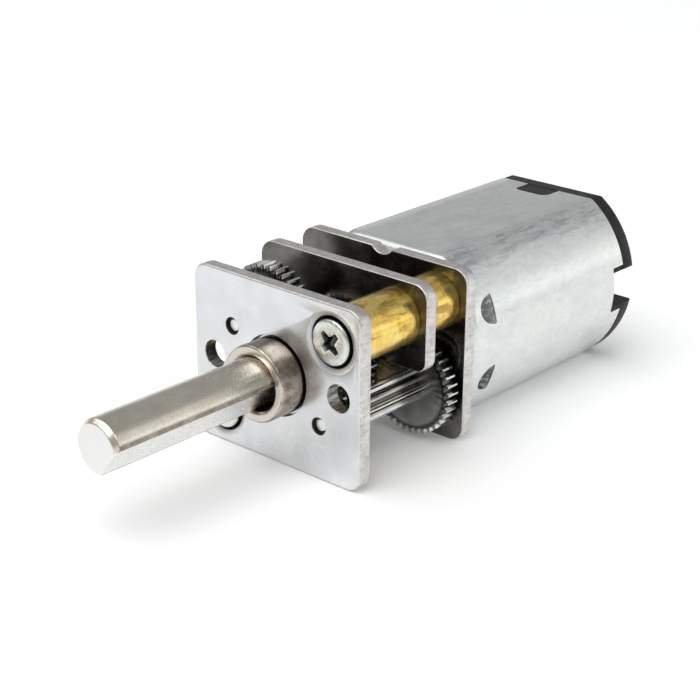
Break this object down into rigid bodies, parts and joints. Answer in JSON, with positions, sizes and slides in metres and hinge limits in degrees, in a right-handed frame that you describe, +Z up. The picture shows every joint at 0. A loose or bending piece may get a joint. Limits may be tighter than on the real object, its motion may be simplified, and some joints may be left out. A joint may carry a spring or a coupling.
{
  "type": "miniature gearmotor",
  "caption": "Miniature flat-sided DC gearmotor: open three-plate spur gearbox with a D-cut output shaft, brass spacers and a small brushed motor behind it.",
  "frame": {"origin": "middle of the part in X and Y, on the plane its flat underside rests on", "axes": "+Y along the shaft from its tip towards the rear of the motor, +Z up through the flat top, +X to the right seen from the shaft end"},
  "size_m": [0.012, 0.0384, 0.01],
  "materials": {
    "plate_steel": "satin",
    "brass_spacer": "polished",
    "screw_nickel": "nickel plated, satin",
    "bush_bronze": "sintered bronze, smooth",
    "shaft_steel": "ground",
    "gear_steel": "cut teeth, oiled",
    "contact_brass": "smooth",
    "core_steel": "laminated",
    "copper": "enamelled wire or bare copper",
    "black_plastic": "fine moulded",
    "ferrite": "ground ferrite",
    "can_steel": "zinc plated, mottled"
  },
  "bodies": {
    "housing": {"brush_left": "contact_brass", "brush_right": "contact_brass", "end_cap": "black_plastic", "front_bush": "bush_bronze", "front_motor_bush": "bush_bronze", "front_plate": "plate_steel", "front_spacer_left": "brass_spacer", "front_spacer_right": "brass_spacer", "long_screw_left": "screw_nickel", "long_screw_right": "screw_nickel", "lower_axle_pin": "shaft_steel", "magnet_left": "ferrite", "magnet_right": "ferrite", "middle_plate": "plate_steel", "motor_can": "can_steel", "motor_screw_left": "screw_nickel", "motor_screw_right": "screw_nickel", "rear_motor_bush": "bush_bronze", "rear_plate": "plate_steel", "rear_spacer_left": "brass_spacer", "rear_spacer_right": "brass_spacer", "terminal_left": "contact_brass", "terminal_right": "contact_brass", "upper_axle_pin": "shaft_steel"},
    "rotor": {"motor_pinion": "contact_brass", "motor_shaft": "shaft_steel", "rotor_core": "core_steel", "commutator_hub": "black_plastic", "rotor_coil_1": "copper", "rotor_coil_2": "copper", "rotor_coil_3": "copper", "commutator_segment_1": "copper", "commutator_segment_2": "copper", "commutator_segment_3": "copper"},
    "output": {"output_shaft": "shaft_steel", "output_gear": "gear_steel"},
    "upper_idler": {"upper_idler_gear": "gear_steel"},
    "middle_idler": {"middle_idler_gear": "gear_steel"},
    "lower_idler": {"lower_idler_gear": "gear_steel"}
  },
  "joints": [
    {"name": "rotor_spin", "type": "hinge", "parent": "housing", "child": "rotor", "pos_m": [0, 0, 0.005], "axis": [0, 1, 0], "continuous": true},
    {"name": "lower_idler_spin", "type": "hinge", "parent": "housing", "child": "lower_idler", "pos_m": [0.00314, 0, 0.00304], "axis": [0, 1, 0], "continuous": true},
    {"name": "middle_idler_spin", "type": "hinge", "parent": "housing", "child": "middle_idler", "pos_m": [0, -0.003, 0.005], "axis": [0, 1, 0], "continuous": true},
    {"name": "upper_idler_spin", "type": "hinge", "parent": "housing", "child": "upper_idler", "pos_m": [-0.00314, -0.004, 0.00696], "axis": [0, 1, 0], "continuous": true},
    {"name": "output_spin", "type": "hinge", "parent": "housing", "child": "output", "pos_m": [0, -0.007, 0.005], "axis": [0, 1, 0], "continuous": true}
  ],
  "couplings": [
    {"joint": "lower_idler_spin", "follows": "rotor_spin", "ratio": -0.36111},
    {"joint": "middle_idler_spin", "follows": "rotor_spin", "ratio": 0.092593},
    {"joint": "upper_idler_spin", "follows": "rotor_spin", "ratio": -0.033436},
    {"joint": "output_spin", "follows": "rotor_spin", "ratio": 0.0085734}
  ]
}
